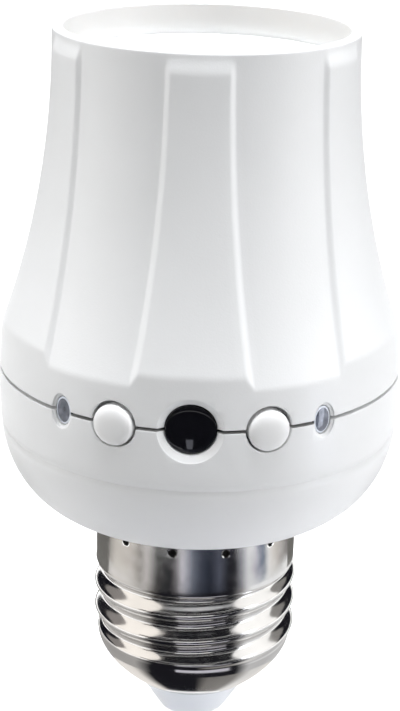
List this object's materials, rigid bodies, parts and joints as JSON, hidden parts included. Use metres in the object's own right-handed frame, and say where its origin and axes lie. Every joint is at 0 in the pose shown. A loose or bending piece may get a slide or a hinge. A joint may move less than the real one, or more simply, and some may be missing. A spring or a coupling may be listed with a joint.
{
  "type": "light sensor socket adapter",
  "caption": "Fluted white lamp-socket adapter with a screw base below, a lamp socket above, and a light sensor window, push buttons and indicators on its seam.",
  "frame": {"origin": "tip of the centre contact of the screw base, on the axis", "axes": "+Z along the axis from the tip contact to the socket's rim; the window and the buttons face -Y; +X to the right as seen from the front"},
  "size_m": [0.0504, 0.0504, 0.0925],
  "materials": {
    "housing_plastic": "fine satin white moulded plastic",
    "socket_plastic": "satin white heat-resistant plastic",
    "brass_sheet": "rolled brass sheet, semi-bright",
    "floor_plastic": "off-white heat-resistant plastic",
    "spring_brass": "sprung brass strip",
    "tinned_metal": "tinned, soft sheen",
    "nickel_shell": "bright nickel plating on rolled sheet",
    "insulator_white": "smooth white, slightly glossy",
    "tip_metal": "bright nickel plating",
    "board_green": "green solder mask",
    "screw_steel": "zinc plated",
    "window_black": "very dark, high gloss",
    "component_black": "moulded black component body",
    "button_plastic": "smooth satin white",
    "lens_clear": "clear moulded plastic",
    "led_epoxy": "clear epoxy",
    "capacitor_red": "dipped red lacquer",
    "capacitor_sleeve": "shrunk dark sleeve",
    "resistor_body": "blue-grey lacquer",
    "wire_brown": "brown insulation",
    "wire_blue": "blue insulation"
  },
  "bodies": {
    "housing": {"upper_housing": "housing_plastic", "lower_housing": "housing_plastic", "socket_insert": "socket_plastic", "socket_shell": "brass_sheet", "socket_floor": "floor_plastic", "centre_contact": "spring_brass", "contact_rivet": "tinned_metal", "shell_terminal": "spring_brass", "base_shell": "nickel_shell", "base_insulator": "insulator_white", "tip_contact": "tip_metal", "circuit_board": "board_green", "board_screws": "screw_steel", "sensor_window": "window_black", "light_sensor": "component_black", "switch_left": "component_black", "switch_right": "component_black", "led_lens_left": "lens_clear", "led_lens_right": "lens_clear", "led_left": "led_epoxy", "led_right": "led_epoxy", "controller_chip": "component_black", "triac": "component_black", "film_capacitor": "capacitor_red", "smoothing_capacitor": "capacitor_sleeve", "fuse_resistor": "resistor_body", "component_leads": "tinned_metal", "live_wire": "wire_brown", "neutral_wire": "wire_blue", "lamp_live_wire": "wire_brown", "lamp_neutral_wire": "wire_blue"},
    "left_button": {"button_left": "button_plastic", "plunger_left": "component_black"},
    "right_button": {"button_right": "button_plastic", "plunger_right": "component_black"}
  },
  "joints": [
    {"name": "left_button_press", "type": "slide", "parent": "housing", "child": "left_button", "axis": [0.3576, 0.9339, 0], "range_m": [0, 0.0005], "stiffness_N_per_m": 1500, "springref_m": -0.0002},
    {"name": "right_button_press", "type": "slide", "parent": "housing", "child": "right_button", "axis": [-0.3576, 0.9339, 0], "range_m": [0, 0.0005], "stiffness_N_per_m": 1500, "springref_m": -0.0002}
  ]
}
